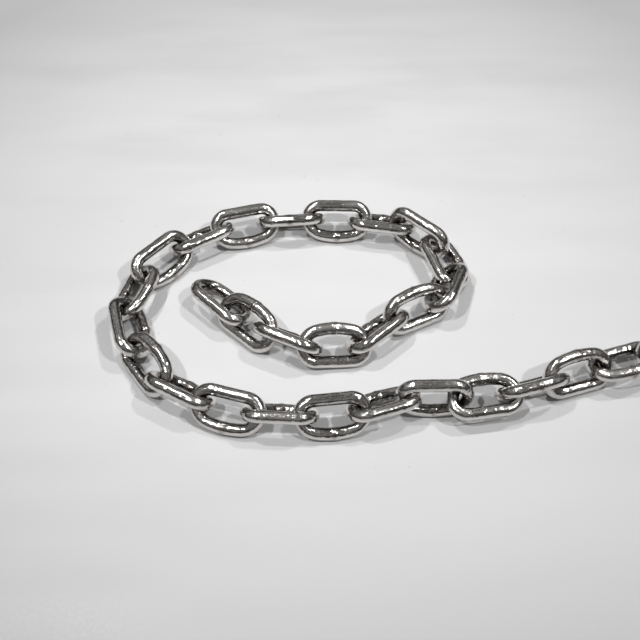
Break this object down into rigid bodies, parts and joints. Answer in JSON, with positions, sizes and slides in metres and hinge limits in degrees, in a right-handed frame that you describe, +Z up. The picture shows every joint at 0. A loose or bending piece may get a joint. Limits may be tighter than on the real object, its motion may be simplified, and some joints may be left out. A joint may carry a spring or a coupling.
{
  "type": "steel chain",
  "caption": "Length of polished stainless steel link chain laid in an open hook, for fastening, hanging or closing off things.",
  "frame": {"origin": "middle of the laid chain's footprint, on the floor that it lies on", "axes": "+X along the longest extent, from the hooked end of the lay towards the far stretch; +Z up; the picture looks along +Y and down"},
  "size_m": [0.5066, 0.2828, 0.0226],
  "materials": {
    "polished_steel": "tumble-polished stainless steel wire with fine lengthwise drawing lines and a small resistance weld in the middle of one side of each link"
  },
  "bodies": {
    "root": {"link_01": "polished_steel", "link_02": "polished_steel", "link_03": "polished_steel", "link_04": "polished_steel", "link_05": "polished_steel", "link_06": "polished_steel", "link_07": "polished_steel", "link_08": "polished_steel", "link_09": "polished_steel", "link_10": "polished_steel", "link_11": "polished_steel", "link_12": "polished_steel", "link_13": "polished_steel", "link_14": "polished_steel", "link_15": "polished_steel", "link_16": "polished_steel", "link_17": "polished_steel", "link_18": "polished_steel", "link_19": "polished_steel", "link_20": "polished_steel", "link_21": "polished_steel", "link_22": "polished_steel", "link_23": "polished_steel", "link_24": "polished_steel", "link_25": "polished_steel", "link_26": "polished_steel", "link_27": "polished_steel", "link_28": "polished_steel", "link_29": "polished_steel", "link_30": "polished_steel", "link_31": "polished_steel", "link_32": "polished_steel", "link_33": "polished_steel", "link_34": "polished_steel", "link_35": "polished_steel", "link_36": "polished_steel", "link_37": "polished_steel", "link_38": "polished_steel", "link_39": "polished_steel", "link_40": "polished_steel", "link_41": "polished_steel", "link_42": "polished_steel"}
  },
  "joints": []
}
